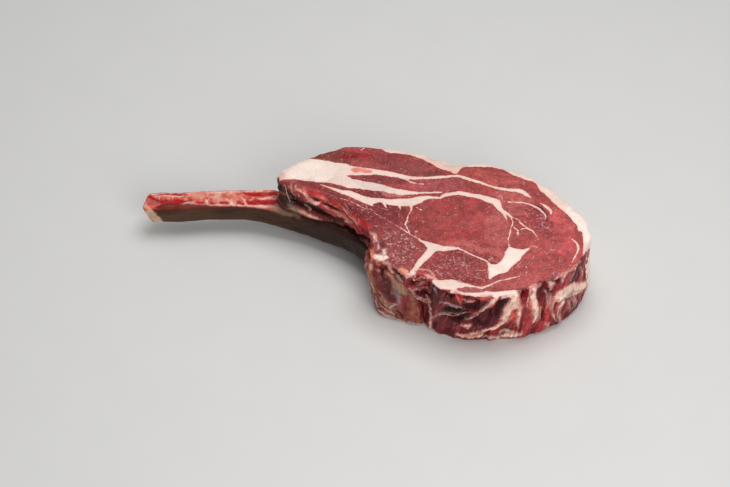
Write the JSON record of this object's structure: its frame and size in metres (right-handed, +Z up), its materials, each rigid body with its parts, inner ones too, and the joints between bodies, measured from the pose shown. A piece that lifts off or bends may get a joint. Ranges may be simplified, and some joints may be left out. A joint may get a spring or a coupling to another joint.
{
  "type": "raw tomahawk steak",
  "caption": "Thick raw rib steak lying flat: marbled muscle with fat seams and a fat cap, a long scraped rib bone standing out at one side, and a block of backbone at the corner.",
  "frame": {"origin": "middle of the steak's length and depth, on the floor that it lies on", "axes": "+X from the rib's scraped end towards the meat, +Y away from the backbone corner, +Z up through the thickness of the slice"},
  "size_m": [0.3562, 0.1696, 0.0565],
  "materials": {
    "meat": "raw wet red muscle with cream fat",
    "rib": "scraped bone, satin, with shreds of red and cream tissue",
    "chine": "damp bone and gristle"
  },
  "bodies": {
    "root": {"meat": "meat", "rib_bone": "rib", "chine_bone": "chine"}
  },
  "joints": []
}
